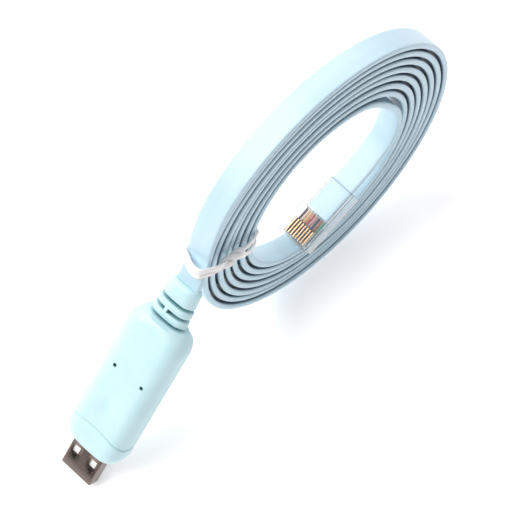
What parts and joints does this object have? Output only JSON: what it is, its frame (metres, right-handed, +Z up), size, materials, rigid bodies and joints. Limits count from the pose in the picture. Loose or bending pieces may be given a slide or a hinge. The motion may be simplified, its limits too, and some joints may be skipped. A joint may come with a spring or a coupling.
{
  "type": "rj45 console cable",
  "caption": "Flat pale blue console cable coiled and tied on its rim, with a USB-A plug in a long moulding on one end and a clear 8P8C modular plug on the other",
  "frame": {"origin": "centre of the part's box in X and Y, on the floor", "axes": "+X from the coil towards the USB plug, +Y along the coil's axis towards the side seen in the picture, +Z up"},
  "size_m": [0.1572, 0.0218, 0.0999],
  "materials": {
    "cord_pvc": "pale blue flat cord sheath, satin",
    "moulding_pvc": "pale blue soft moulding, satin",
    "shell_steel": "nickel plated sheet steel",
    "insulator_plastic": "white, matt",
    "contact_gold": "gold plated, polished",
    "clear_plastic": "clear, polished",
    "tie_plastic": "white coated wire",
    "core_brown": "core insulation, satin",
    "core_tan": "core insulation, satin",
    "core_yellow": "core insulation, satin",
    "core_red": "core insulation, satin",
    "core_rose": "core insulation, satin",
    "core_black": "core insulation, satin",
    "core_orange": "core insulation, satin",
    "core_green": "core insulation, satin"
  },
  "bodies": {
    "root": {"cable_coil": "cord_pvc", "cable_usb_lead": "cord_pvc", "cable_rj45_lead": "cord_pvc", "cable_tie": "tie_plastic", "usb_shell": "shell_steel", "usb_insulator": "insulator_plastic", "usb_housing": "moulding_pvc", "usb_contact_1": "contact_gold", "usb_contact_2": "contact_gold", "usb_contact_3": "contact_gold", "usb_contact_4": "contact_gold", "rj45_body": "clear_plastic", "rj45_contact_1": "contact_gold", "rj45_contact_2": "contact_gold", "rj45_contact_3": "contact_gold", "rj45_contact_4": "contact_gold", "rj45_contact_5": "contact_gold", "rj45_contact_6": "contact_gold", "rj45_contact_7": "contact_gold", "rj45_contact_8": "contact_gold", "rj45_core_1": "core_brown", "rj45_core_2": "core_tan", "rj45_core_3": "core_yellow", "rj45_core_4": "core_red", "rj45_core_5": "core_rose", "rj45_core_6": "core_black", "rj45_core_7": "core_orange", "rj45_core_8": "core_green"}
  },
  "joints": []
}
